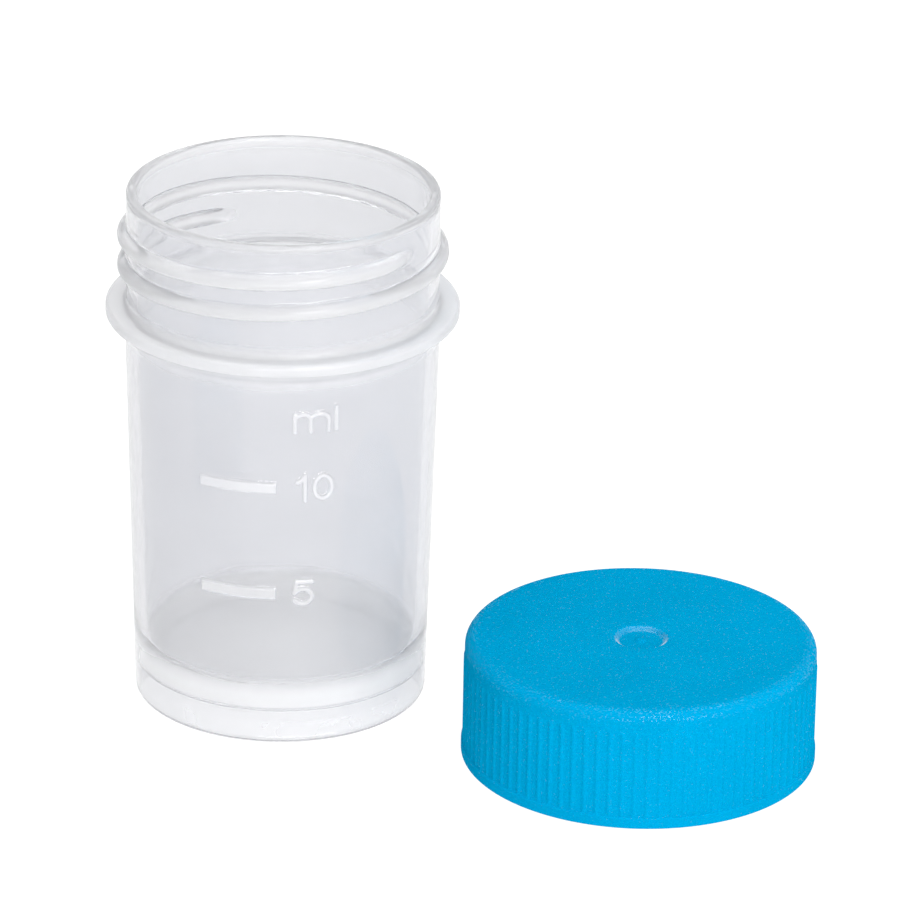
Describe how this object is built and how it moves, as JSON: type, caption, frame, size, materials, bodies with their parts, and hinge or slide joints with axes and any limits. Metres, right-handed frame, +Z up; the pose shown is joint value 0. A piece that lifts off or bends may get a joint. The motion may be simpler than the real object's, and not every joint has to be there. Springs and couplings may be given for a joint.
{
  "type": "specimen container",
  "caption": "Short translucent screw-neck specimen container with a collar below the thread and raised filling marks; its ribbed screw cap stands beside it.",
  "frame": {"origin": "on the container's own axis, in the plane of its foot, which is the surface that both pieces stand on", "axes": "+Z up the container's axis, out of its mouth; +X towards the side where the loose cap stands; the filling marks are on the -Y side"},
  "size_m": [0.0633, 0.0455, 0.0477],
  "materials": {
    "clear_polypropylene": "natural polypropylene, slightly milky and see-through, smooth moulded gloss",
    "blue_polypropylene": "cyan-blue polypropylene, satin with a fine moulded grain"
  },
  "bodies": {
    "root": {"container": "clear_polypropylene", "cap": "blue_polypropylene"}
  },
  "joints": []
}
